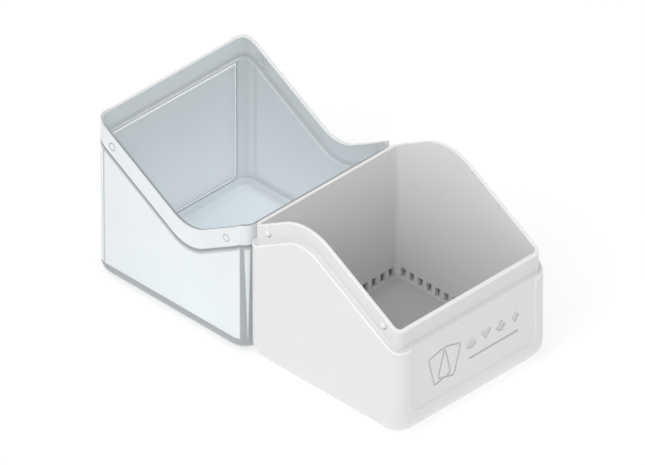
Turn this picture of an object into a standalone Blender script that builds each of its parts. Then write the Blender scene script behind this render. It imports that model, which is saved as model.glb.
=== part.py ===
# Card deck box: a white two-part base and a clear lift-off lid.
# The lid lies upside down behind the base, as it is left when the box is open.
# Units are metres. X is the width, +Y points to the rear, +Z is up.
# The origin is the centre of the base's flat underside.

import math

import bmesh
import bpy
from mathutils import Matrix, Vector

# Footprint and closed height.
WIDTH = 0.0800
DEPTH = 0.0800
CLOSED_HEIGHT = 0.1100

# Side profile shared by the base's ledge and the lid's edge: two slopes that meet in a
# round crest and end in short level parts at the front and the rear.
SLOPE = math.radians(30.0)
SLOPE_FRONT_Z = 0.0385
CREST_FROM_FRONT = 0.0502
LEDGE_CREST_R = 0.0159
LEDGE_FRONT_Z = 0.0399
LEDGE_REAR_Z = 0.0523

# Outer shell of the base.
SHELL_CORNER_R = 0.0064
SHELL_FOOT_R = 0.0090
SHELL_WALL = 0.0018
SHELL_FLOOR = 0.0010
SHELL_INNER_CORNER_R = 0.00355
EDGE_BREAK = 0.00025

# Liner of the base, whose upper band is the rim that the lid slips over.
RIM_RISE = 0.0085
RIM_CREST_R = 0.0233
RIM_INSET = 0.00215
RIM_WALL = 0.0014
RIM_CORNER_R = 0.0032
RIM_INNER_CORNER_R = 0.0018
RIM_ROOT_DROP = 0.0040
LINER_OUTER_FOOT_INSET = 0.0036
LINER_INNER_FOOT_INSET = 0.0052
LINER_FOOT_R = 0.0076
LINER_FLOOR_Z = 0.0026
LINER_FOOT_Z = 0.0033
LINER_FLOOR_INSET = 0.0064

# Ventilation slots round the foot of the liner.
SLOT_COUNT = 15
SLOT_PITCH = 0.00453
SLOT_WIDTH = 0.0025
SLOT_HEIGHT = 0.0042
SLOT_REACH = 0.0040

# Snap bumps on the rim and the matching dimples in the lid.
SNAP_FROM_FRONT = (0.0101, 0.0703)
SNAP_ABOVE_LEDGE = 0.0046
BUMP_RADIUS = 0.0013
BUMP_HEIGHT = 0.00055
DIMPLE_RADIUS = 0.0015
DIMPLE_DEPTH = 0.00045

# Clear lid.
LID_GAP = 0.0003
LID_BAND_WALL = 0.0015
LID_WALL = 0.0023
LID_TOP = 0.0023
LID_TOP_R = 0.0056
LID_CORNER_R = 0.0064
LID_BAND_DEPTH = 0.0093
LID_STEP_DROP = 0.0003
LID_INNER_FOOT_R = 0.0012

# Shallow panel recessed into the front of the base and of the lid.
PANEL_HALF_WIDTH = 0.0324
PANEL_DEPTH = 0.0005
PANEL_BASE_Z = 0.0114
PANEL_LID_Z = 0.0076
PANEL_CORNER_R = 0.0045
PANEL_RUN_OUT = 0.0100

# Low plate on the inner face of the lid's panel wall, behind the recess.
PLATE_HEIGHT = 0.0004
PLATE_BELOW_EDGE = 0.0100
PLATE_ROOT = 0.0005
PLATE_CORNER_R = 0.0028

# Engraved motif on the base's front panel: a fan of two cards and four suit pips.
MOTIF_DEPTH = 0.00035
CARD_CENTRE = (-0.0152, 0.0250)
CARD_SIZE = (0.0095, 0.0140)
CARD_CORNER_R = 0.0016
CARD_STROKE = 0.0008
CARD_TILTS = (-16.0, 14.0)
CARD_SPREAD = 0.0026
PIP_Z = 0.0276
PIP_HALF = 0.0026
PIP_FIRST_X = -0.0010
PIP_PITCH = 0.0077
BAR_Z = 0.0208
BAR_SIZE = (0.0260, 0.0012)

CORNER_STEPS = 8
SIDE_STEPS = 26
FOOT_STEPS = 8
PIP_STEPS = 32
BUMP_STEPS = (20, 12)
CUT_CLEAR = 0.0020

HALF_X = WIDTH / 2.0
HALF_Y = DEPTH / 2.0
LID_CENTRE_Y = DEPTH + LID_GAP


def clear_scene():
    for old in list(bpy.data.objects):
        bpy.data.objects.remove(old, do_unlink=True)


def new_collection(name):
    made = bpy.data.collections.new(name)
    bpy.context.scene.collection.children.link(made)
    return made


def make_material(name, color, roughness, alpha=1.0):
    material = bpy.data.materials.new(name)
    material.use_nodes = True
    shader = material.node_tree.nodes["Principled BSDF"]
    shader.inputs["Base Color"].default_value = (*color, 1.0)
    shader.inputs["Roughness"].default_value = roughness
    shader.inputs["Metallic"].default_value = 0.0
    shader.inputs["Alpha"].default_value = alpha
    material.diffuse_color = (*color, alpha)
    return material


def crested_height(y, crest_radius):
    """The side profile at depth y, with a crest of the given radius."""
    apex = SLOPE_FRONT_Z + CREST_FROM_FRONT * math.tan(SLOPE)
    away = abs(y + HALF_Y - CREST_FROM_FRONT)
    if away < crest_radius * math.sin(SLOPE):
        centre = apex - crest_radius / math.cos(SLOPE)
        return centre + math.sqrt(crest_radius ** 2 - away ** 2)
    level = LEDGE_FRONT_Z if y < 0.0 else LEDGE_REAR_Z
    return max(apex - away * math.tan(SLOPE), level)


def ledge_height(y):
    """Height of the base's ledge at depth y."""
    return crested_height(y, LEDGE_CREST_R)


def rim_height(y):
    """Top of the liner, whose wider crest keeps the band the same width all along."""
    return crested_height(y, RIM_CREST_R) + RIM_RISE


def lid_edge_height(y):
    """Height of the upturned lid's open edge, the complement of the ledge."""
    return CLOSED_HEIGHT - ledge_height(LID_CENTRE_Y - y)


def outline(inset, radius, centre_y=0.0):
    """Rounded rectangle inset from the footprint, with stations down both sides."""
    right = HALF_X - inset
    rear = HALF_Y - inset
    points = []
    corners = ((1, -1, -90), (1, 1, 0), (-1, 1, 90), (-1, -1, 180))
    for sx, sy, start in corners:
        cx = sx * (right - radius)
        cy = sy * (rear - radius)
        for step in range(CORNER_STEPS + 1):
            angle = math.radians(start + 90.0 * step / CORNER_STEPS)
            points.append((cx + radius * math.cos(angle), cy + radius * math.sin(angle)))
        if sx * sy < 0:
            for step in range(1, SIDE_STEPS):
                share = step / SIDE_STEPS
                points.append((sx * right, cy * (1.0 - 2.0 * share)))
    return [(x, y + centre_y) for x, y in points]


def ring(inset, radius, height, centre_y=0.0):
    """One loop of the loft; height is a number or a function of depth."""
    flat = outline(inset, radius, centre_y)
    if callable(height):
        return [(x, y, height(y)) for x, y in flat]
    return [(x, y, height) for x, y in flat]


def foot_rings(foot_r, arc_r, radius, start_inset, centre_y=0.0):
    """Loops of a round foot whose arc is centred foot_r in from the wall and floor."""
    first = math.acos((foot_r - start_inset) / arc_r)
    made = []
    for step in range(FOOT_STEPS + 1):
        angle = math.pi / 2 + (first - math.pi / 2) * step / FOOT_STEPS
        inset = foot_r - arc_r * math.cos(angle)
        height = foot_r - arc_r * math.sin(angle)
        made.append(ring(inset, radius, height, centre_y))
    return made


def loft(name, loops, collection, material):
    """Skin a stack of equal loops and cap both ends."""
    mesh_data = bmesh.new()
    rows = [[mesh_data.verts.new(point) for point in loop] for loop in loops]
    for lower, upper in zip(rows, rows[1:]):
        count = len(lower)
        for i in range(count):
            j = (i + 1) % count
            mesh_data.faces.new((lower[i], lower[j], upper[j], upper[i]))
    mesh_data.faces.new(rows[0])
    mesh_data.faces.new(rows[-1])
    bmesh.ops.recalc_face_normals(mesh_data, faces=mesh_data.faces)
    return add_object(name, mesh_data, collection, material)


def add_object(name, mesh_data, collection, material=None):
    mesh = bpy.data.meshes.new(name)
    mesh_data.to_mesh(mesh)
    mesh_data.free()
    made = bpy.data.objects.new(name, mesh)
    collection.objects.link(made)
    if material is not None:
        made.data.materials.append(material)
    return made


def prism(name, points, y_near, y_far, collection):
    """Solid made by pushing an (x, z) outline along the depth."""
    mesh_data = bmesh.new()
    near = [mesh_data.verts.new((x, y_near, z)) for x, z in points]
    face = mesh_data.faces.new(near)
    pushed = bmesh.ops.extrude_face_region(mesh_data, geom=[face])
    moved = [item for item in pushed["geom"] if isinstance(item, bmesh.types.BMVert)]
    bmesh.ops.translate(mesh_data, verts=moved, vec=(0.0, y_far - y_near, 0.0))
    bmesh.ops.recalc_face_normals(mesh_data, faces=mesh_data.faces)
    return as_cutter(add_object(name, mesh_data, collection))


def as_cutter(cutter):
    cutter.hide_render = True
    cutter.display_type = "WIRE"
    return cutter


def add_boolean(target, cutter, operation="DIFFERENCE"):
    modifier = target.modifiers.new(cutter.name, "BOOLEAN")
    modifier.operation = operation
    modifier.solver = "EXACT"
    modifier.object = cutter


def box_into(mesh_data, centre, size):
    matrix = Matrix.Translation(Vector(centre)) @ Matrix.Diagonal((*size, 1.0))
    bmesh.ops.create_cube(mesh_data, size=1.0, matrix=matrix)


def dome_into(mesh_data, centre, radius, height):
    """Flattened ball whose equator lies in a wall that faces along X."""
    matrix = Matrix.Translation(Vector(centre)) @ Matrix.Diagonal((height, radius, radius, 1.0))
    around, along = BUMP_STEPS
    bmesh.ops.create_uvsphere(
        mesh_data, u_segments=around, v_segments=along, radius=1.0, matrix=matrix
    )


def rounded_rect(half_x, half_z, radius, steps=6):
    points = []
    for sx, sz, start in ((1, -1, -90), (1, 1, 0), (-1, 1, 90), (-1, -1, 180)):
        for step in range(steps + 1):
            angle = math.radians(start + 90.0 * step / steps)
            x = sx * (half_x - radius) + radius * math.cos(angle)
            z = sz * (half_z - radius) + radius * math.sin(angle)
            points.append((x, z))
    return points


def panel_outline(low_z, high_z):
    """Front panel: round at its closed end and running out past the open one."""
    full = rounded_rect(PANEL_HALF_WIDTH, high_z - low_z, PANEL_CORNER_R)
    return [(x, z + high_z) for x, z in full]


def plate_outline(low_z, high_z):
    """Plate with round lower corners and a square top."""
    full = rounded_rect(PANEL_HALF_WIDTH, high_z - low_z, PLATE_CORNER_R)
    right = [(x, z + high_z) for x, z in full if x > 0.0 and z < 0.0]
    left = [(x, z + high_z) for x, z in full if x < 0.0 and z < 0.0]
    return right + [(PANEL_HALF_WIDTH, high_z), (-PANEL_HALF_WIDTH, high_z)] + left


def turned(points, centre, degrees):
    turn = math.radians(degrees)
    cos_t = math.cos(turn)
    sin_t = math.sin(turn)
    return [(centre[0] + x * cos_t - z * sin_t, centre[1] + x * sin_t + z * cos_t) for x, z in points]


def circle(centre, radius, steps=PIP_STEPS):
    turns = [2.0 * math.pi * step / steps for step in range(steps)]
    return [(centre[0] + radius * math.cos(t), centre[1] + radius * math.sin(t)) for t in turns]


def heart(centre, half, up):
    """Heart outline that fits in a square of the given half size; up is 1 or -1."""
    points = []
    for step in range(PIP_STEPS):
        t = 2.0 * math.pi * (step + 0.5) / PIP_STEPS
        x = 16.0 * math.sin(t) ** 3
        z = 13.0 * math.cos(t) - 5.0 * math.cos(2 * t) - 2.0 * math.cos(3 * t) - math.cos(4 * t)
        points.append((centre[0] + x * half / 16.0, centre[1] + up * (z + 2.5) * half / 16.0))
    return points


def stem(centre, half):
    x, z = centre
    top = z - 0.10 * half
    foot = z - 1.05 * half
    return [(x - 0.10 * half, top), (x - 0.48 * half, foot), (x + 0.48 * half, foot), (x + 0.10 * half, top)]


def card_frame(name, centre, degrees, y_near, y_far, collection):
    """Groove that follows a playing card's outline."""
    half_x = CARD_SIZE[0] / 2.0
    half_z = CARD_SIZE[1] / 2.0
    outer = turned(rounded_rect(half_x, half_z, CARD_CORNER_R), centre, degrees)
    inner_r = CARD_CORNER_R - CARD_STROKE
    inner_flat = rounded_rect(half_x - CARD_STROKE, half_z - CARD_STROKE, inner_r)
    inner = turned(inner_flat, centre, degrees)
    mesh_data = bmesh.new()
    loops = []
    for points, y in ((outer, y_near), (outer, y_far), (inner, y_far), (inner, y_near)):
        loops.append([mesh_data.verts.new((x, y, z)) for x, z in points])
    count = len(outer)
    for a, b in zip(loops, loops[1:] + loops[:1]):
        for i in range(count):
            j = (i + 1) % count
            mesh_data.faces.new((a[i], a[j], b[j], b[i]))
    bmesh.ops.recalc_face_normals(mesh_data, faces=mesh_data.faces)
    return as_cutter(add_object(name, mesh_data, collection))


def motif_cutters(collection):
    """Cutters for the fan of cards, the four suit pips and the bar under them."""
    near = -HALF_Y - CUT_CLEAR
    far = -HALF_Y + PANEL_DEPTH + MOTIF_DEPTH
    cutters = []
    for number, tilt in enumerate(CARD_TILTS):
        side = -1.0 if tilt > 0 else 1.0
        centre = (CARD_CENTRE[0] + side * CARD_SPREAD, CARD_CENTRE[1])
        cutters.append(card_frame("card_groove_%d" % number, centre, tilt, near, far, collection))
    spots = [(PIP_FIRST_X + PIP_PITCH * i, PIP_Z) for i in range(4)]
    size = PIP_HALF
    shapes = [
        ("spade_leaf", heart(spots[0], size, -1)),
        ("spade_stem", stem(spots[0], size)),
        ("heart_leaf", heart(spots[1], size, 1)),
        ("club_stem", stem(spots[2], size)),
        ("diamond_leaf", [
            (spots[3][0], spots[3][1] - size),
            (spots[3][0] + 0.78 * size, spots[3][1]),
            (spots[3][0], spots[3][1] + size),
            (spots[3][0] - 0.78 * size, spots[3][1]),
        ]),
    ]
    for number, (dx, dz) in enumerate(((0.0, 0.50), (-0.52, -0.22), (0.52, -0.22))):
        lobe = circle((spots[2][0] + dx * size, spots[2][1] + dz * size), 0.46 * size)
        shapes.append(("club_lobe_%d" % number, lobe))
    bar_x = (spots[0][0] + spots[3][0]) / 2.0
    bar = rounded_rect(BAR_SIZE[0] / 2.0, BAR_SIZE[1] / 2.0, BAR_SIZE[1] / 2.01)
    shapes.append(("bar", [(x + bar_x, z + BAR_Z) for x, z in bar]))
    for name, points in shapes:
        cutters.append(prism("motif_" + name, points, near, far, collection))
    return cutters


def build_base_shell(parts, cutters, material):
    """White outer shell with a round foot, cut along the side profile."""
    loops = foot_rings(SHELL_FOOT_R, SHELL_FOOT_R, SHELL_CORNER_R, 0.0)
    loops.append(ring(0.0, SHELL_CORNER_R, lambda y: ledge_height(y) - EDGE_BREAK))
    loops.append(ring(EDGE_BREAK, SHELL_CORNER_R - EDGE_BREAK, ledge_height))
    loops.append(ring(SHELL_WALL, SHELL_INNER_CORNER_R, ledge_height))
    inner_arc = SHELL_FOOT_R - SHELL_FLOOR
    inner_foot = foot_rings(SHELL_FOOT_R, inner_arc, SHELL_INNER_CORNER_R, SHELL_WALL)
    loops.extend(reversed(inner_foot))
    shell = loft("base_shell", loops, parts, material)
    panel = prism(
        "base_panel",
        panel_outline(PANEL_BASE_Z, LEDGE_FRONT_Z + PANEL_RUN_OUT),
        -HALF_Y - CUT_CLEAR,
        -HALF_Y + PANEL_DEPTH,
        cutters,
    )
    add_boolean(shell, panel)
    for cutter in motif_cutters(cutters):
        add_boolean(shell, cutter)
    return shell


def liner_slots(collection):
    """Row of slots through the foot of each wall of the liner."""
    mesh_data = bmesh.new()
    centre_z = LINER_FOOT_Z + SLOT_HEIGHT / 2.0
    middle = HALF_X - (LINER_OUTER_FOOT_INSET + LINER_INNER_FOOT_INSET) / 2.0
    for number in range(SLOT_COUNT):
        along = (number - (SLOT_COUNT - 1) / 2.0) * SLOT_PITCH
        for side in (-1.0, 1.0):
            box_into(mesh_data, (along, side * middle, centre_z), (SLOT_WIDTH, SLOT_REACH, SLOT_HEIGHT))
            box_into(mesh_data, (side * middle, along, centre_z), (SLOT_REACH, SLOT_WIDTH, SLOT_HEIGHT))
    return as_cutter(add_object("liner_slots", mesh_data, collection))


def snap_spots():
    for from_front in SNAP_FROM_FRONT:
        y = from_front - HALF_Y
        yield y, ledge_height(y) + SNAP_ABOVE_LEDGE


def build_base_liner(parts, cutters, material):
    """White inner tray whose tapered walls rise past the shell as the rim band."""
    loops = foot_rings(SHELL_FOOT_R, LINER_FOOT_R, RIM_CORNER_R, LINER_OUTER_FOOT_INSET)
    loops.append(ring(RIM_INSET, RIM_CORNER_R, lambda y: ledge_height(y) - RIM_ROOT_DROP))
    loops.append(ring(RIM_INSET, RIM_CORNER_R, lambda y: rim_height(y) - EDGE_BREAK))
    inset = RIM_INSET + EDGE_BREAK
    loops.append(ring(inset, RIM_CORNER_R - EDGE_BREAK, rim_height))
    inset = RIM_INSET + RIM_WALL - EDGE_BREAK
    loops.append(ring(inset, RIM_INNER_CORNER_R + EDGE_BREAK, rim_height))
    inset = RIM_INSET + RIM_WALL
    loops.append(ring(inset, RIM_INNER_CORNER_R, lambda y: rim_height(y) - EDGE_BREAK))
    loops.append(ring(LINER_INNER_FOOT_INSET, RIM_INNER_CORNER_R, LINER_FOOT_Z))
    loops.append(ring(LINER_FLOOR_INSET, RIM_INNER_CORNER_R, LINER_FLOOR_Z))
    liner = loft("base_liner", loops, parts, material)
    add_boolean(liner, liner_slots(cutters))
    mesh_data = bmesh.new()
    for y, z in snap_spots():
        for side in (-1.0, 1.0):
            dome_into(mesh_data, (side * (HALF_X - RIM_INSET), y, z), BUMP_RADIUS, BUMP_HEIGHT)
    bumps = as_cutter(add_object("rim_bumps", mesh_data, cutters))
    add_boolean(liner, bumps, "UNION")
    return liner


def build_lid(parts, cutters, material):
    """Clear lid, upside down: its top panel is on the ground and its edge is up."""
    mid = LID_CENTRE_Y
    loops = foot_rings(LID_TOP_R, LID_TOP_R, LID_CORNER_R, 0.0, mid)
    loops.append(ring(0.0, LID_CORNER_R, lambda y: lid_edge_height(y) - EDGE_BREAK, mid))
    loops.append(ring(EDGE_BREAK, LID_CORNER_R - EDGE_BREAK, lid_edge_height, mid))
    inset = LID_BAND_WALL - EDGE_BREAK
    band_r = LID_CORNER_R - LID_BAND_WALL
    loops.append(ring(inset, band_r + EDGE_BREAK, lid_edge_height, mid))
    loops.append(ring(LID_BAND_WALL, band_r, lambda y: lid_edge_height(y) - EDGE_BREAK, mid))
    loops.append(ring(LID_BAND_WALL, band_r, lambda y: lid_edge_height(y) - LID_BAND_DEPTH, mid))
    wall_r = LID_CORNER_R - LID_WALL
    step_drop = LID_BAND_DEPTH + LID_STEP_DROP
    loops.append(ring(LID_WALL, wall_r, lambda y: lid_edge_height(y) - step_drop, mid))
    loops.append(ring(LID_WALL, wall_r, LID_TOP + LID_INNER_FOOT_R, mid))
    soft = LID_INNER_FOOT_R * (1.0 - math.cos(math.pi / 4.0))
    loops.append(ring(LID_WALL + soft, wall_r - soft, LID_TOP + soft, mid))
    inset = LID_WALL + LID_INNER_FOOT_R
    loops.append(ring(inset, wall_r - LID_INNER_FOOT_R, LID_TOP, mid))
    lid = loft("lid_shell", loops, parts, material)
    rear = mid + HALF_Y
    panel = prism(
        "lid_panel",
        panel_outline(PANEL_LID_Z, CLOSED_HEIGHT - LEDGE_FRONT_Z + PANEL_RUN_OUT),
        rear + CUT_CLEAR,
        rear - PANEL_DEPTH,
        cutters,
    )
    add_boolean(lid, panel)
    plate_top = CLOSED_HEIGHT - LEDGE_FRONT_Z - PLATE_BELOW_EDGE
    plate = prism(
        "lid_plate",
        plate_outline(PANEL_LID_Z, plate_top),
        rear - LID_WALL + PLATE_ROOT,
        rear - LID_WALL - PLATE_HEIGHT,
        cutters,
    )
    add_boolean(lid, plate, "UNION")
    mesh_data = bmesh.new()
    for y, z in snap_spots():
        for side in (-1.0, 1.0):
            centre = (side * (HALF_X - LID_BAND_WALL), mid - y, CLOSED_HEIGHT - z)
            dome_into(mesh_data, centre, DIMPLE_RADIUS, DIMPLE_DEPTH)
    dimples = as_cutter(add_object("lid_dimples", mesh_data, cutters))
    add_boolean(lid, dimples)
    return lid


def main():
    clear_scene()
    parts = new_collection("card_deck_box")
    cutters = new_collection("cutters")
    shell_white = make_material("shell_white_plastic", (0.86, 0.86, 0.86), 0.45)
    liner_white = make_material("liner_white_plastic", (0.84, 0.84, 0.84), 0.50)
    lid_clear = make_material("lid_clear_plastic", (0.74, 0.80, 0.84), 0.08, alpha=0.35)
    build_base_shell(parts, cutters, shell_white)
    build_base_liner(parts, cutters, liner_white)
    build_lid(parts, cutters, lid_clear)
    bpy.context.view_layer.update()


main()
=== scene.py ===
import math

import bmesh
import bpy
from mathutils import Matrix, Vector


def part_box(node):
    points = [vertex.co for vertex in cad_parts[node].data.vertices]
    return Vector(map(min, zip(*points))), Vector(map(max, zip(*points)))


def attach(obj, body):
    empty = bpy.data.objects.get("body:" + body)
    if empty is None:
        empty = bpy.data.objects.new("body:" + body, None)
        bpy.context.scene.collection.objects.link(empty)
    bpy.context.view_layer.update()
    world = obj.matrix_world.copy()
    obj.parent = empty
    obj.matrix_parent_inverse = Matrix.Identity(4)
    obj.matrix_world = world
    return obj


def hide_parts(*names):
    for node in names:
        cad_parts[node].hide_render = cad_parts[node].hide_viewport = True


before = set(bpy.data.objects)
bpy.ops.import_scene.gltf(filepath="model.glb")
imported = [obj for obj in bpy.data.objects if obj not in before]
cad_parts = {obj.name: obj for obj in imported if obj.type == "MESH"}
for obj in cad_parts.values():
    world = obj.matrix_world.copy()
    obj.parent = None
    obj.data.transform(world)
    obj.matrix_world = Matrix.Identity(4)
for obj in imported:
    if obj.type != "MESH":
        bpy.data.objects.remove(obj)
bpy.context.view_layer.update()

# Places and outer sizes come from the frame.
shell_low, shell_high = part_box("base_shell")
liner_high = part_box("base_liner")[1]
lid_low, lid_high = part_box("lid_shell")
HALF_X = (shell_high.x - shell_low.x) / 2.0
HALF_Y = (shell_high.y - shell_low.y) / 2.0
LID_MID_Y = (lid_low.y + lid_high.y) / 2.0

# Side profile shared by the base's ledge and the lid's edge.
SLOPE = math.radians(30.0)
SLOPE_FRONT_Z = 0.0385
CREST_FROM_FRONT = 0.0502
LEDGE_CREST_R = 0.0159
RIM_CREST_R = 0.0233
LEDGE_FRONT_Z = 0.0399
LEDGE_REAR_Z = 0.0523
CLOSED_HEIGHT = 0.1100

# Outer shell.
CORNER_R = 0.0064
FOOT_R = 0.0090
SHELL_WALL = 0.0018
SHELL_FLOOR = 0.0010
SHELL_INNER_R = 0.00355
LEDGE_EDGE_R = 0.0005
COVE_R = 0.0011

# Liner and rim band.
RIM_RISE = 0.0085
RIM_INSET = HALF_X - liner_high.x + 0.00055
RIM_WALL = 0.0014
RIM_CORNER_R = 0.0032
RIM_INNER_R = 0.0018
RIM_EDGE_R = 0.00045
FOOT_OUT = 0.0036
FOOT_IN = 0.0052
LINER_FOOT_R = 0.0076
LINER_FLOOR_Z = 0.0026
LINER_FOOT_Z = 0.0033
LINER_FLOOR_IN = 0.0064

SLOT_COUNT = 15
SLOT_PITCH = 0.00453
SLOT_SIZE = (0.0025, 0.0040, 0.0042)

SNAP_FROM_FRONT = (0.0101, 0.0703)
SNAP_ABOVE_LEDGE = 0.0046
BUMP = (0.00055, 0.0013)
DIMPLE = (0.00045, 0.0015)
# Thin rings of painted shade, radius and thickness: round a bump's root, shifted so a dark crescent shows as
# its painted shadow, and on the lid's skin over a dimple as a painted dark line.
BUMP_SHADOW_RING = (0.0012, 0.00025)
BUMP_SHADOW_SHIFT = 0.0004
DIMPLE_SHADE_RING = (0.0015, 0.0002)

# Lid.
LID_BAND = 0.0015
LID_WALL = 0.0023
LID_TOP = 0.0023
LID_TOP_R = 0.0056
LID_EDGE_R = 0.0004
LID_BAND_DEPTH = 0.0093
LID_STEP_DROP = 0.0003
LID_FOOT_R = 0.0012
LID_LOW_Z = 0.0062

# Recessed panel and engraved motif.
PANEL_HALF = 0.0324
PANEL_R = 0.0045
PANEL_BASE_Z = 0.0114
PANEL_LID_Z = 0.0076
PANEL_ABOVE = 0.010
# Pairs of how far out from the panel's edge and how deep or high, in millimetres.
PANEL_PROFILE = ((0.50, -2.0), (0.50, -0.02), (0.36, 0.04), (0.20, 0.13))
PANEL_PROFILE += ((0.0, 0.25), (-0.20, 0.37), (-0.36, 0.46), (-0.5, 0.5))
# The profile's outer flange, barely above the wall, carries a painted shade line.
RAISED_PROFILE = ((0.9, -0.5), (0.9, 0.03), (0.2, 0.05), (0.05, 0.25))
RAISED_PROFILE += ((-0.05, 0.38), (-0.15, 0.4), (-0.55, 0.402))
PLATE_R = 0.0028
PLATE_BELOW_EDGE = 0.0100
MOTIF_FAR = 0.00085
CUT_OUTSIDE = 0.002
CARD_CENTRE = (-0.0152, 0.0250)
CARD_SIZE = (0.0095, 0.0140)
CARD_R = 0.0016
CARD_STROKE = 0.0008
CARD_TILTS = (-16.0, 14.0)
CARD_SPREAD = 0.0026
PIP_Z = 0.0276
PIP_HALF = 0.0026
PIP_FIRST_X = -0.0010
PIP_PITCH = 0.0077
BAR_Z = 0.0208
BAR_SIZE = (0.0260, 0.0012)

CORNER_STEPS = 16
SIDE_STEPS = 84
FOOT_STEPS = 16


def crested_height(y, crest_radius):
    apex = SLOPE_FRONT_Z + CREST_FROM_FRONT * math.tan(SLOPE)
    away = abs(y + HALF_Y - CREST_FROM_FRONT)
    if away < crest_radius * math.sin(SLOPE):
        return apex - crest_radius / math.cos(SLOPE) + math.sqrt(crest_radius ** 2 - away ** 2)
    return max(apex - away * math.tan(SLOPE), LEDGE_FRONT_Z if y < 0.0 else LEDGE_REAR_Z)


def ledge_height(y):
    return crested_height(y, LEDGE_CREST_R)


def rim_height(y):
    return crested_height(y, RIM_CREST_R) + RIM_RISE


def lid_edge_height(y):
    return CLOSED_HEIGHT - ledge_height(LID_MID_Y - y)


def outline(inset, radius, centre_y=0.0):
    right, rear, points = HALF_X - inset, HALF_Y - inset, []
    for sx, sy, start in ((1, -1, -90), (1, 1, 0), (-1, 1, 90), (-1, -1, 180)):
        cx, cy = sx * (right - radius), sy * (rear - radius)
        for step in range(CORNER_STEPS + 1):
            angle = math.radians(start + 90.0 * step / CORNER_STEPS)
            points.append((cx + radius * math.cos(angle), cy + radius * math.sin(angle)))
        if sx * sy < 0:
            for step in range(1, SIDE_STEPS):
                points.append((sx * right, cy * (1.0 - 2.0 * step / SIDE_STEPS)))
    return [(x, y + centre_y) for x, y in points]


def ring(inset, radius, height, centre_y=0.0):
    flat = outline(inset, radius, centre_y)
    return [(x, y, height(y) if callable(height) else height) for x, y in flat]


def foot_rings(foot_r, arc_r, radius, start_inset, centre_y=0.0):
    first = math.acos((foot_r - start_inset) / arc_r)
    made = []
    for step in range(FOOT_STEPS + 1):
        angle = math.pi / 2 + (first - math.pi / 2) * step / FOOT_STEPS
        inset, rise = foot_r - arc_r * math.cos(angle), foot_r - arc_r * math.sin(angle)
        made.append(ring(inset, radius, rise, centre_y))
    return made


def quarter(cx, cz, radius, start, end, steps=6):
    """(inset, rise) points of an arc, angles in degrees from the inset axis."""
    made = []
    for step in range(steps + 1):
        angle = math.radians(start + (end - start) * step / steps)
        made.append((cx + radius * math.cos(angle), cz + radius * math.sin(angle)))
    return made


def link(name, mesh_data, materials=()):
    mesh = bpy.data.meshes.new(name)
    mesh_data.to_mesh(mesh)
    mesh_data.free()
    made = bpy.data.objects.new(name, mesh)
    bpy.context.scene.collection.objects.link(made)
    for material in materials:
        mesh.materials.append(material)
    return made


def loft(name, loops, materials, slots=None):
    """Skin a stack of loops; slots gives the material number of each strip and of the two caps."""
    mesh_data = bmesh.new()
    rows = [[mesh_data.verts.new(point) for point in loop] for loop in loops]
    slots = slots or [0] * (len(loops) + 1)
    for number, (lower, upper) in enumerate(zip(rows, rows[1:])):
        count = len(lower)
        for i in range(count):
            j = (i + 1) % count
            face = mesh_data.faces.new((lower[i], lower[j], upper[j], upper[i]))
            face.material_index = slots[number]
    mesh_data.faces.new(rows[0]).material_index = slots[-2]
    mesh_data.faces.new(rows[-1]).material_index = slots[-1]
    bmesh.ops.recalc_face_normals(mesh_data, faces=mesh_data.faces)
    return link(name, mesh_data, materials)


def rounded_rect(half_x, half_z, radius, steps=8):
    points = []
    for sx, sz, start in ((1, -1, -90), (1, 1, 0), (-1, 1, 90), (-1, -1, 180)):
        for step in range(steps + 1):
            angle = math.radians(start + 90.0 * step / steps)
            x = sx * (half_x - radius) + radius * math.cos(angle)
            z = sz * (half_z - radius) + radius * math.sin(angle)
            points.append((x, z))
    return points


def skin(name, loops, closed=False, slot=0):
    """Cutter from (x, y, z) loops: capped, or closed on itself as a groove is."""
    mesh_data = bmesh.new()
    rows = [[mesh_data.verts.new(point) for point in loop] for loop in loops]
    pairs = list(zip(rows, rows[1:])) + ([(rows[-1], rows[0])] if closed else [])
    for a, b in pairs:
        for i in range(len(a)):
            j = (i + 1) % len(a)
            mesh_data.faces.new((a[i], a[j], b[j], b[i]))
    if not closed:
        mesh_data.faces.new(rows[0])
        mesh_data.faces.new(rows[-1])
    bmesh.ops.recalc_face_normals(mesh_data, faces=mesh_data.faces)
    for face in mesh_data.faces:
        face.material_index = slot
    return link(name, mesh_data, [shell_white, rim_highlight, engraved_shade] if slot else ())


def panel_cutter(name, wall_y, inward, low_z, high_z):
    """Recess with soft sides, closed below and running out above; inward is 1 or -1 along Y."""
    loops = []
    for spread, depth in PANEL_PROFILE:
        spread, depth = spread / 1000.0, depth / 1000.0
        flat = rounded_rect(PANEL_HALF + spread, high_z - low_z + spread, PANEL_R + spread, 12)
        loops.append([(x, wall_y + inward * depth, z + high_z) for x, z in flat])
    return skin(name, loops)


def raised_panel(name, wall_y, low_z, high_z, materials, slots):
    """Low plate with soft sides on the inner face of the lid's panel wall."""
    loops = []
    for spread, rise in RAISED_PROFILE:
        spread, rise = spread / 1000.0, rise / 1000.0
        full = rounded_rect(PANEL_HALF + spread, high_z - low_z + spread, PLATE_R + spread, 12)
        right = [(x, z + high_z) for x, z in full if x > 0.0 and z < 0.0]
        left = [(x, z + high_z) for x, z in full if x < 0.0 and z < 0.0]
        above = high_z + min(spread, 0.3 * spread)
        top = [(PANEL_HALF + spread, above), (-PANEL_HALF - spread, above)]
        loops.append([(x, wall_y - rise, z) for x, z in right + top + left])
    return loft(name, loops, materials, slots)


def prism(name, points):
    ends = (-HALF_Y - CUT_OUTSIDE, -HALF_Y + MOTIF_FAR)
    return skin(name, [[(x, y, z) for x, z in points] for y in ends], slot=2)


def turned(points, centre, degrees):
    c, s = math.cos(math.radians(degrees)), math.sin(math.radians(degrees))
    return [(centre[0] + x * c - z * s, centre[1] + x * s + z * c) for x, z in points]


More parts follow.
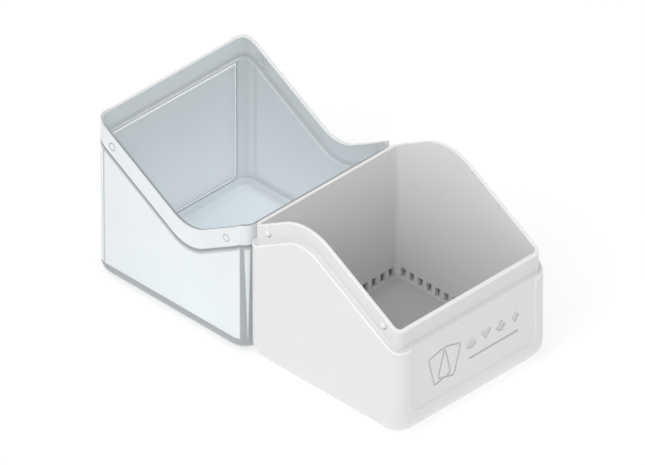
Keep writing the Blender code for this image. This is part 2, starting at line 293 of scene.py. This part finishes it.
def heart(centre, half, up, steps=48):
    points = []
    for step in range(steps):
        t = 2.0 * math.pi * (step + 0.5) / steps
        x = 16.0 * math.sin(t) ** 3
        z = 13.0 * math.cos(t) - 5.0 * math.cos(2 * t) - 2.0 * math.cos(3 * t) - math.cos(4 * t)
        points.append((centre[0] + x * half / 16.0, centre[1] + up * (z + 2.5) * half / 16.0))
    return points


def stem(centre, half):
    x, z = centre
    corners = ((-0.10, -0.10), (-0.48, -1.05), (0.48, -1.05), (0.10, -0.10))
    return [(x + a * half, z + b * half) for a, b in corners]


def circle(centre, radius, steps=40):
    turns = [2.0 * math.pi * step / steps for step in range(steps)]
    return [(centre[0] + radius * math.cos(t), centre[1] + radius * math.sin(t)) for t in turns]


def card_groove(name, centre, degrees):
    near, far = -HALF_Y - CUT_OUTSIDE, -HALF_Y + MOTIF_FAR
    half_x, half_z = CARD_SIZE[0] / 2.0, CARD_SIZE[1] / 2.0
    outer = turned(rounded_rect(half_x, half_z, CARD_R), centre, degrees)
    flat = rounded_rect(half_x - CARD_STROKE, half_z - CARD_STROKE, CARD_R - CARD_STROKE)
    inner = turned(flat, centre, degrees)
    order = ((outer, near), (outer, far), (inner, far), (inner, near))
    return skin(name, [[(x, y, z) for x, z in points] for points, y in order], closed=True, slot=2)


def motif_cutters():
    cutters = []
    for number, tilt in enumerate(CARD_TILTS):
        side = -1.0 if tilt > 0 else 1.0
        centre = (CARD_CENTRE[0] + side * CARD_SPREAD, CARD_CENTRE[1])
        cutters.append(card_groove("cut_card_%d" % number, centre, tilt))
    spots = [(PIP_FIRST_X + PIP_PITCH * i, PIP_Z) for i in range(4)]
    size = PIP_HALF
    fourth = spots[3]
    corners = ((0, -1), (0.78, 0), (0, 1), (-0.78, 0))
    diamond = [(fourth[0] + a * size, fourth[1] + b * size) for a, b in corners]
    shapes = [heart(spots[0], size, -1), stem(spots[0], size), heart(spots[1], size, 1)]
    shapes += [stem(spots[2], size), diamond]
    for dx, dz in ((0.0, 0.50), (-0.52, -0.22), (0.52, -0.22)):
        shapes.append(circle((spots[2][0] + dx * size, spots[2][1] + dz * size), 0.46 * size))
    bar_x = (spots[0][0] + spots[3][0]) / 2.0
    bar = rounded_rect(BAR_SIZE[0] / 2.0, BAR_SIZE[1] / 2.0, BAR_SIZE[1] / 2.01)
    shapes.append([(x + bar_x, z + BAR_Z) for x, z in bar])
    cutters.extend(prism("cut_motif_%d" % number, points) for number, points in enumerate(shapes))
    return cutters


def domes(name, spots, height, radius, materials=(), slot=0):
    mesh_data = bmesh.new()
    for spot in spots:
        matrix = Matrix.Translation(Vector(spot)) @ Matrix.Diagonal((height, radius, radius, 1.0))
        bmesh.ops.create_uvsphere(mesh_data, u_segments=32, v_segments=20, radius=1.0, matrix=matrix)
    for face in mesh_data.faces:
        face.material_index = slot
    return link(name, mesh_data, materials)


def hoops(name, spots, radius, thick, materials, slot, steps=40, around=10):
    """Thin rings round the X axis."""
    mesh_data = bmesh.new()
    for x, y, z in spots:
        rows = []
        for step in range(steps):
            t = 2.0 * math.pi * step / steps
            row = []
            for turn in range(around):
                u = 2.0 * math.pi * turn / around
                reach = radius + thick * math.cos(u)
                point = (x + thick * math.sin(u), y + reach * math.cos(t), z + reach * math.sin(t))
                row.append(mesh_data.verts.new(point))
            rows.append(row)
        for a, b in zip(rows, rows[1:] + rows[:1]):
            for i in range(around):
                j = (i + 1) % around
                mesh_data.faces.new((a[i], a[j], b[j], b[i])).material_index = slot
    bmesh.ops.recalc_face_normals(mesh_data, faces=mesh_data.faces)
    return link(name, mesh_data, materials)


def carve(piece, cutters, operation="DIFFERENCE"):
    for cutter in cutters:
        modifier = piece.modifiers.new(cutter.name, "BOOLEAN")
        modifier.operation, modifier.solver, modifier.object = operation, "EXACT", cutter
    bake(piece)
    for cutter in cutters:
        bpy.data.objects.remove(cutter, do_unlink=True)


def bake(piece):
    bpy.context.view_layer.update()
    shown = piece.evaluated_get(bpy.context.evaluated_depsgraph_get())
    mesh = bpy.data.meshes.new_from_object(shown)
    piece.modifiers.clear()
    piece.data = mesh


def finish_surface(piece, sharp=35.0):
    piece.data.shade_smooth()
    piece.data.set_sharp_from_angle(angle=math.radians(sharp))
    modifier = piece.modifiers.new("normals", "WEIGHTED_NORMAL")
    modifier.keep_sharp = True
    modifier.weight = 60
    bake(piece)


# Materials.


class Nodes:
    """Short forms for the nodes of one material."""

    def __init__(self, name):
        self.material = bpy.data.materials.new(name)
        self.material.use_nodes = True
        self.tree = self.material.node_tree
        self.shader = self.tree.nodes["Principled BSDF"]
        self.place = self.add("ShaderNodeTexCoord").outputs["Object"]

    def add(self, kind, **values):
        node = self.tree.nodes.new(kind)
        for key, value in values.items():
            setattr(node, key, value)
        return node

    def put(self, socket, value):
        if isinstance(value, bpy.types.NodeSocket):
            self.tree.links.new(value, socket)
        else:
            socket.default_value = value

    def math(self, operation, a, b=0.0, c=0.0):
        node = self.add("ShaderNodeMath", operation=operation)
        for socket, value in zip(node.inputs, (a, b, c)):
            self.put(socket, value)
        return node.outputs[0]

    def noise(self, scale, detail=3.0, roughness=0.5):
        node = self.add("ShaderNodeTexNoise")
        self.put(node.inputs["Vector"], self.place)
        node.inputs["Scale"].default_value = scale
        node.inputs["Detail"].default_value = detail
        node.inputs["Roughness"].default_value = roughness
        return node.outputs["Fac"]

    def remap(self, value, low, high, to_low, to_high, smooth=False):
        node = self.add("ShaderNodeMapRange")
        node.interpolation_type = "SMOOTHSTEP" if smooth else "LINEAR"
        self.put(node.inputs["Value"], value)
        for key, number in (("From Min", low), ("From Max", high), ("To Min", to_low), ("To Max", to_high)):
            node.inputs[key].default_value = number
        return node.outputs["Result"]

    def blend(self, factor, first, second):
        node = self.add("ShaderNodeMix", data_type="RGBA")
        self.put(node.inputs["Factor"], factor)
        self.put(node.inputs[6], first)
        self.put(node.inputs[7], second)
        return node.outputs[2]

    def bump(self, height, strength, distance, under=None):
        node = self.add("ShaderNodeBump")
        node.inputs["Strength"].default_value = strength
        node.inputs["Distance"].default_value = distance
        self.put(node.inputs["Height"], height)
        if under is not None:
            self.put(node.inputs["Normal"], under)
        return node.outputs["Normal"]

    def split(self):
        node = self.add("ShaderNodeSeparateXYZ")
        self.put(node.inputs[0], self.place)
        return node.outputs


def white_plastic(name, color, rough, deep=None):
    """Satin moulded plastic: fine grain, faint flow marks, a painted highlight on sharp edges, and, where
    deep is given, painted shade darker towards the bottom.
    """
    n = Nodes(name)
    tone = n.remap(n.noise(55.0, 4.0), 0.3, 0.7, 0.0, 1.0)
    dark = tuple(part * 0.985 for part in color)
    body = n.blend(tone, (*dark, 1.0), (*color, 1.0))
    # Painted highlight: sharp edges lightened by pointiness.
    painted_edge_highlight = n.remap(n.add("ShaderNodeNewGeometry").outputs["Pointiness"], 0.52, 0.62, 0.0, 0.5)
    light = tuple(min(1.0, part * 1.05) for part in color)
    body = n.blend(painted_edge_highlight, body, (*light, 1.0))
    # With deep given, painted shade: the colour darkens towards the bottom, from z 0.062 down to 0.004.
    if deep:
        body = n.blend(n.remap(n.split()[2], 0.004, 0.062, 1.0, 0.0, True), body, (*deep, 1.0))
    n.put(n.shader.inputs["Base Color"], body)
    grain = n.noise(5200.0, 2.0)
    worn = n.remap(n.noise(260.0, 3.0), 0.3, 0.7, rough - 0.05, rough + 0.05)
    spread = n.math("ADD", worn, n.remap(grain, 0.2, 0.8, -0.02, 0.02))
    n.put(n.shader.inputs["Roughness"], spread)
    fine = n.bump(grain, 0.25, 0.00002)
    n.put(n.shader.inputs["Normal"], n.bump(n.noise(38.0, 2.0), 0.12, 0.0003, fine))
    n.shader.inputs["Specular IOR Level"].default_value = 0.4
    n.shader.inputs["IOR"].default_value = 1.49
    return n.material


def band(n, value, low, high, soft):
    """One between low and high, zero outside."""
    rising = n.remap(n.math("SUBTRACT", value, low), -soft, soft, 0.0, 1.0, True)
    falling = n.remap(n.math("SUBTRACT", high, value), -soft, soft, 0.0, 1.0, True)
    return n.math("MULTIPLY", rising, falling)


# Where round a lid corner its painted dark lines are, from 0 at the side wall to 1 at the end wall.
FRONT_LINES = (0.31, 0.82)
WEDGE_FOOT, WEDGE_LEFT, WEDGE_RIGHT = 0.61, 0.13, 0.11
WEDGE_FROM_Z, WEDGE_TO_Z = 0.006, 0.048
REAR_LINE = (0.06, 0.13)
REAR_SIDE = (0.38, 0.9)
FOOT_LINE_Z = (0.0062, 0.0066)


def painted_refraction_lines(n, x, y, z):
    """Painted shade standing in for refraction, where the lid's skin is dark: its foot, the line under its
    band, its upright corners.
    """
    drop = n.add("ShaderNodeAttribute", attribute_name="edge_drop").outputs["Fac"]
    from_x = n.math("MAXIMUM", n.math("SUBTRACT", n.math("ABSOLUTE", x), HALF_X - CORNER_R), 0.00001)
    off_y = n.math("SUBTRACT", y, LID_MID_Y)
    from_y = n.math("MAXIMUM", n.math("SUBTRACT", n.math("ABSOLUTE", off_y), HALF_Y - CORNER_R), 0.00001)
    turn = n.math("MULTIPLY", n.math("ARCTAN2", from_y, from_x), 2.0 / math.pi)
    open_up = n.remap(z, WEDGE_FROM_Z, WEDGE_TO_Z, 0.0, 1.0)
    wedge_left = n.math("SUBTRACT", WEDGE_FOOT, n.math("MULTIPLY", open_up, WEDGE_LEFT))
    wedge_right = n.math("ADD", WEDGE_FOOT, n.math("MULTIPLY", open_up, WEDGE_RIGHT))
    before = band(n, turn, FRONT_LINES[0], wedge_left, 0.03)
    front = n.math("MAXIMUM", before, band(n, turn, wedge_right, FRONT_LINES[1], 0.03))
    far_side = n.math("MULTIPLY", band(n, turn, *REAR_SIDE, 0.05), 0.5)
    rear = n.math("MAXIMUM", band(n, turn, *REAR_LINE, 0.03), far_side)
    corner = n.add("ShaderNodeMix", data_type="FLOAT")
    n.put(corner.inputs[0], n.math("GREATER_THAN", off_y, 0.0))
    n.put(corner.inputs[2], n.math("MULTIPLY", front, 0.8))
    n.put(corner.inputs[3], n.math("MULTIPLY", rear, 0.7))
    below = n.remap(drop, LID_BAND_DEPTH - 0.0005, LID_BAND_DEPTH, 0.12, 1.0)
    shade = n.math("MULTIPLY", corner.outputs[0], below)
    shade = n.math("MAXIMUM", shade, n.remap(z, *FOOT_LINE_Z, 0.80, 0.0, True))
    under = band(n, drop, LID_BAND_DEPTH - 0.0008, LID_BAND_DEPTH + 0.0005, 0.0002)
    shade = n.math("MAXIMUM", shade, n.math("MULTIPLY", under, 0.95))
    fade = n.remap(drop, LID_BAND_DEPTH + 0.0005, LID_BAND_DEPTH + 0.0024, 0.70, 0.0, True)
    fade = n.math("MULTIPLY", fade, n.math("GREATER_THAN", drop, LID_BAND_DEPTH))
    return n.math("MAXIMUM", shade, fade)


def clear_plastic(name, light, dark, alpha, kind="plain", glow=None):
    """Polished tinted plastic with painted shade: dark lines where it is thick and seen edge on, standing in
    for refraction.

    glow is painted light, an emission standing in for light scattered in the plastic: its color, and its
    strength low and high up.
    """
    n = Nodes(name)
    x, y, z = n.split()
    shade = n.remap(n.noise(24.0, 2.0), 0.3, 0.7, 0.0, 0.10)
    if kind == "rim":
        # Painted highlight and shade: the rim white on its far side, dark on its near side.
        shade = n.remap(n.math("ADD", x, n.math("SUBTRACT", y, LID_MID_Y)), -0.012, 0.012, 1.0, 0.0, True)
    if kind == "inner":
        # Painted shade: the inner skin darker towards the +X wall.
        shade = n.math("MAXIMUM", shade, n.remap(x, HALF_X - CORNER_R, HALF_X - LID_WALL, 0.0, 1.0, True))
    if kind == "outer":
        shade = n.math("MAXIMUM", shade, painted_refraction_lines(n, x, y, z))
    n.put(n.shader.inputs["Base Color"], n.blend(shade, (*light, 1.0), (*dark, 1.0)))
    n.put(n.shader.inputs["Roughness"], n.remap(n.noise(180.0, 4.0), 0.3, 0.7, 0.05, 0.11))
    n.put(n.shader.inputs["Normal"], n.bump(n.noise(30.0, 2.0), 0.10, 0.0003))
    n.shader.inputs["Alpha"].default_value = alpha
    if glow:
        n.shader.inputs["Emission Color"].default_value = (*glow[0], 1.0)
        n.put(n.shader.inputs["Emission Strength"], n.remap(z, 0.0, 0.06, glow[1], glow[2]))
    n.shader.inputs["IOR"].default_value = 1.49
    return n.material


shell_white = white_plastic("shell_white", (0.81, 0.81, 0.81), 0.42)
# Painted shade: the engraved motif's recesses in a darker copy of the shell's plastic.
engraved_shade = white_plastic("engraved_shade", (0.71, 0.71, 0.71), 0.5)
liner_white = white_plastic("liner_white", (0.79, 0.79, 0.79), 0.44)
# Painted highlight: the snap bumps in a lighter copy of the liner's plastic.
bump_highlight = white_plastic("bump_highlight", (0.88, 0.88, 0.88), 0.36)
# Painted light and shade: the liner's inside in a brighter copy of its plastic, darkening towards the bottom.
liner_inside_painted_light = white_plastic("liner_inside_painted_light", (0.93, 0.93, 0.93), 0.46, (0.73, 0.73, 0.73))
# Painted shade: the liner's floor, and the shadow rings at the bumps, in a darker copy of its plastic.
liner_floor_shade = white_plastic("liner_floor_shade", (0.49, 0.49, 0.49), 0.46)
# Painted highlight: rim tops and the ledge's rounded edge in a near-white copy of the plastic.
rim_highlight = white_plastic("rim_highlight", (0.98, 0.98, 0.98), 0.40)
# Colours of the painted glow: emission on the lid standing in for light scattered in the clear plastic.
COOL, CLEAR = (0.80, 0.93, 1.0), (1.0, 0.99, 0.99)
BLUE = (0.2, 0.7, 1.0)
lid_outer = clear_plastic(
    "lid_outer", (0.925, 0.965, 0.985), (0.27, 0.27, 0.265), 0.84, "outer", (BLUE, 0.03, 0.0)
)
lid_inner = clear_plastic(
    "lid_inner", (0.86, 0.91, 0.935), (0.66, 0.70, 0.72), 0.58, "inner", (CLEAR, 0.155, 0.0)
)
lid_low = clear_plastic(
    "lid_low", (0.86, 0.91, 0.93), (0.70, 0.74, 0.76), 0.95, "inner", (CLEAR, 0.07, 0.07)
)
lid_rim_painted_light = clear_plastic("lid_rim_painted_light", (1.0, 1.0, 1.0), (0.40, 0.41, 0.41), 0.92, "rim")
# Painted highlight: a bright line along the plate's top edge, with painted glow.
lid_step_highlight = clear_plastic("lid_step_highlight", (1.0, 1.0, 1.0), (0.96, 0.98, 1.0), 0.95, glow=(CLEAR, 0.25, 0.25))
# Painted shade: dark lines along the plate's flange and over the dimples, standing in for refraction.
lid_shade_line = clear_plastic("lid_shade_line", (0.50, 0.52, 0.53), (0.44, 0.46, 0.47), 0.9)
lid_floor = clear_plastic("lid_floor", (0.90, 0.96, 1.0), (0.86, 0.93, 0.97), 0.6, glow=(COOL, 0.26, 0.26))


def build_shell():
    loops = foot_rings(FOOT_R, FOOT_R, CORNER_R, 0.0)
    profile = quarter(LEDGE_EDGE_R, -LEDGE_EDGE_R, LEDGE_EDGE_R, 180.0, 90.0)
    profile += quarter(RIM_INSET - 0.00003 - COVE_R, COVE_R, COVE_R, -90.0, 0.0, 8)
    profile += [(RIM_INSET - 0.00003, -0.0008), (SHELL_WALL, -0.0012)]
    for inset, rise in profile:
        radius = max(CORNER_R - inset, SHELL_INNER_R)
        loops.append(ring(inset, radius, lambda y, rise=rise: ledge_height(y) + rise))
    inner = foot_rings(FOOT_R, FOOT_R - SHELL_FLOOR, SHELL_INNER_R, SHELL_WALL)
    edge_from = len(loops) - len(profile)
    # The ledge's rounded outer edge strips get the painted highlight.
    slots = [1 if edge_from <= i < edge_from + 6 else 0 for i in range(len(loops) + len(inner) + 1)]
    piece = loft("base_shell_moulding", loops + inner[::-1], [shell_white, rim_highlight, engraved_shade], slots)
    panel = panel_cutter("cut_panel", -HALF_Y, 1.0, PANEL_BASE_Z, LEDGE_FRONT_Z + PANEL_ABOVE)
    carve(piece, [panel] + motif_cutters())
    return piece


def snap_spots():
    for from_front in SNAP_FROM_FRONT:
        y = from_front - HALF_Y
        yield y, ledge_height(y) + SNAP_ABOVE_LEDGE


def build_liner():
    loops = foot_rings(FOOT_R, LINER_FOOT_R, RIM_CORNER_R, FOOT_OUT)
    loops.append(ring(RIM_INSET, RIM_CORNER_R, lambda y: ledge_height(y) - 0.004))
    profile = quarter(RIM_INSET + RIM_EDGE_R, -RIM_EDGE_R, RIM_EDGE_R, 180.0, 90.0)
    inner = RIM_INSET + RIM_WALL
    profile += quarter(inner - RIM_EDGE_R, -RIM_EDGE_R, RIM_EDGE_R, 90.0, 0.0)
    for inset, rise in profile:
        share = (inset - RIM_INSET) / RIM_WALL
        radius = RIM_CORNER_R + (RIM_INNER_R - RIM_CORNER_R) * share
        loops.append(ring(inset, radius, lambda y, rise=rise: rim_height(y) + rise))
    loops.append(ring(FOOT_IN, RIM_INNER_R, LINER_FOOT_Z))
    loops.append(ring(LINER_FLOOR_IN, RIM_INNER_R, LINER_FLOOR_Z))
    rim_from = FOOT_STEPS + 1
    # The rim's top strips get the painted highlight.
    slots = [1 if rim_from < i < rim_from + len(profile) - 1 else 0 for i in range(len(loops) + 1)]
    # The inside wall strip gets the painted light and shade; the floor strip and floor cap get the painted
    # shade.
    slots[-4:] = [3, 2, 0, 2]
    materials = [liner_white, rim_highlight, liner_floor_shade, liner_inside_painted_light, bump_highlight]
    piece = loft("base_liner_moulding", loops, materials, slots)
    mesh_data = bmesh.new()
    middle = HALF_X - (FOOT_OUT + FOOT_IN) / 2.0
    wide, reach, tall = SLOT_SIZE
    for number in range(SLOT_COUNT):
        along = (number - (SLOT_COUNT - 1) / 2.0) * SLOT_PITCH
        for side in (-1.0, 1.0):
            across = ((along, side * middle), (wide, reach))
            lengthwise = ((side * middle, along), (reach, wide))
            for centre, size in (across, lengthwise):
                place = Matrix.Translation((*centre, LINER_FOOT_Z + tall / 2.0))
                matrix = place @ Matrix.Diagonal((*size, tall, 1.0))
                bmesh.ops.create_cube(mesh_data, size=1.0, matrix=matrix)
    carve(piece, [link("cut_slots", mesh_data)])
    spots = [(side * (HALF_X - RIM_INSET), y, z) for y, z in snap_spots() for side in (-1.0, 1.0)]
    # Painted shadow: a dark ring shifted down and towards -Y, left as a crescent below each bump.
    bump_shadow_spots = [(x, y - BUMP_SHADOW_SHIFT, z - BUMP_SHADOW_SHIFT) for x, y, z in spots]
    carve(piece, [hoops("cut_bump_shadows", bump_shadow_spots, *BUMP_SHADOW_RING, materials, 2)])
    carve(piece, [domes("snap_bumps", spots, *BUMP, materials, 4)], "UNION")
    return piece


def build_lid():
    mid = LID_MID_Y
    outer, inner, rim, step, shade_line, floor, low = range(7)
    materials = [lid_outer, lid_inner, lid_rim_painted_light, lid_step_highlight, lid_shade_line, lid_floor, lid_low]
    loops = foot_rings(LID_TOP_R, LID_TOP_R, CORNER_R, 0.0, mid)
    slots = [outer] * len(loops)
    profile = quarter(LID_EDGE_R, -LID_EDGE_R, LID_EDGE_R, 180.0, 90.0)
    profile += quarter(LID_BAND - LID_EDGE_R, -LID_EDGE_R, LID_EDGE_R, 90.0, 0.0)
    # The rim's top strips get the painted highlight and shade of the rim material.
    slots += [outer] * 5 + [rim] * (len(profile) - 6)
    profile += [(LID_BAND, -LID_BAND_DEPTH), (LID_WALL, -LID_BAND_DEPTH - LID_STEP_DROP)]
    slots += [inner, inner]
    for inset, rise in profile:
        loops.append(ring(inset, CORNER_R - inset, lambda y, rise=rise: lid_edge_height(y) + rise, mid))
    loops.append(ring(LID_WALL, CORNER_R - LID_WALL, LID_LOW_Z, mid))
    slots.append(inner)
    for inset, rise in quarter(LID_WALL + LID_FOOT_R, LID_TOP + LID_FOOT_R, LID_FOOT_R, 180.0, 270.0):
        loops.append(ring(inset, CORNER_R - inset, rise, mid))
        slots.append(low)
    slots += [outer, floor]
    piece = loft("lid_moulding", loops, materials, slots)
    plate_top = lid_edge_height(mid + HALF_Y) - PLATE_BELOW_EDGE
    # Plate strips: a painted shade line on its flange and outer slope, a painted highlight along its top
    # edge.
    plate_slots = [shade_line, shade_line, shade_line, step, step, step, outer, inner]
    plate = raised_panel("cut_plate", mid + HALF_Y - LID_WALL, PANEL_LID_Z, plate_top, materials, plate_slots)
    carve(piece, [plate], "UNION")
    panel = panel_cutter("cut_lid_panel", mid + HALF_Y, -1.0, PANEL_LID_Z, lid_high.z + PANEL_ABOVE)
    places = [(mid - y, CLOSED_HEIGHT - z) for y, z in snap_spots()]
    deep = [(side * (HALF_X - LID_BAND), y, z) for y, z in places for side in (-1.0, 1.0)]
    # Painted dark rings, cut into the lid's outer skin over each dimple.
    dimple_shade_spots = [(side * HALF_X, y, z) for y, z in places for side in (-1.0, 1.0)]
    dimples = domes("cut_dimples", deep, *DIMPLE, materials, inner)
    carve(piece, [panel, dimples, hoops("cut_hoops", dimple_shade_spots, *DIMPLE_SHADE_RING, materials, shade_line)])
    return piece


shell = build_shell()
liner = build_liner()
lid = build_lid()
for piece in (shell, liner, lid):
    finish_surface(piece)
drop = lid.data.attributes.new("edge_drop", "FLOAT", "POINT")
for vertex, item in zip(lid.data.vertices, drop.data):
    item.value = lid_edge_height(vertex.co.y) - vertex.co.z

base_pieces = ((shell, "base", "base_shell"), (liner, "base", "base_liner"))
for piece, body, node in (*base_pieces, (lid, "lid", "lid_shell")):
    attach(piece, body)
    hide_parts(node)

# Floor, light and camera.
mesh_data = bmesh.new()
bmesh.ops.create_grid(mesh_data, x_segments=4, y_segments=4, size=4.0)
bmesh.ops.translate(mesh_data, verts=mesh_data.verts, vec=(0.0, 0.0, -0.0002))
paper = Nodes("floor_paper")
tone = paper.blend(paper.noise(3.0), (0.49, 0.49, 0.49, 1.0), (0.51, 0.51, 0.51, 1.0))
paper.put(paper.shader.inputs["Base Color"], tone)
paper.shader.inputs["Roughness"].default_value = 0.9
paper.shader.inputs["Specular IOR Level"].default_value = 0.1
paper.shader.inputs["Emission Color"].default_value = (1.0, 1.0, 1.0, 1.0)
paper.shader.inputs["Emission Strength"].default_value = 0.61
floor = link("floor", mesh_data, [paper.material])

HORIZON, ZENITH, BELOW = 0.68, 0.44, 1.03
world = bpy.data.worlds.new("studio")
bpy.context.scene.world = world
world.use_nodes = True
sky = world.node_tree
climb = sky.nodes.new("ShaderNodeSeparateXYZ")
sky.links.new(sky.nodes.new("ShaderNodeTexCoord").outputs["Generated"], climb.inputs[0])
level = sky.nodes.new("ShaderNodeMapRange")
level.inputs["To Min"].default_value = HORIZON
level.inputs["To Max"].default_value = ZENITH
sky.links.new(climb.outputs["Z"], level.inputs["Value"])
under = sky.nodes.new("ShaderNodeMath")
under.operation = "LESS_THAN"
under.inputs[1].default_value = -0.002
sky.links.new(climb.outputs["Z"], under.inputs[0])
strength = sky.nodes.new("ShaderNodeMath")
strength.operation = "MULTIPLY_ADD"
strength.inputs[1].default_value = BELOW - HORIZON
sky.links.new(under.outputs[0], strength.inputs[0])
sky.links.new(level.outputs["Result"], strength.inputs[2])
sky.links.new(strength.outputs[0], sky.nodes["Background"].inputs["Strength"])
sky.nodes["Background"].inputs["Color"].default_value = (1.0, 1.0, 1.0, 1.0)


LIT_SPOT = (0.0, 0.04, 0.03)


def area_light(name, place, size, watts):
    data = bpy.data.lights.new(name, "AREA")
    data.shape, data.size, data.energy = "SQUARE", size, watts
    made = bpy.data.objects.new(name, data)
    made.location = place
    aim = Vector(LIT_SPOT) - Vector(place)
    made.rotation_mode = "QUATERNION"
    made.rotation_quaternion = aim.to_track_quat("-Z", "Y")
    bpy.context.scene.collection.objects.link(made)


area_light("key", (-1.75, -0.25, 1.75), 1.1, 13.5)
area_light("top", (-0.5, -0.2, 2.2), 1.4, 10.5)

camera_data = bpy.data.cameras.new("camera")
camera = bpy.data.objects.new("camera", camera_data)
bpy.context.scene.collection.objects.link(camera)
AZIMUTH, ELEVATION, REACH = math.radians(-45.0), math.radians(35.03), 8.0
LOOK_AT = (0.0012, 0.0407, 0.0362)
level_reach = math.cos(ELEVATION)
back = Vector((math.sin(AZIMUTH) * level_reach, -math.cos(AZIMUTH) * level_reach, math.sin(ELEVATION)))
camera_data.sensor_width = 36.0
camera_data.lens = 1200.0
camera_data.clip_start, camera_data.clip_end = 0.5, 30.0
camera.location = Vector(LOOK_AT) + back * REACH
camera.rotation_mode = "QUATERNION"
camera.rotation_quaternion = (-back).to_track_quat("-Z", "Y")
bpy.context.scene.camera = camera

bpy.context.scene.view_settings.view_transform = "Standard"
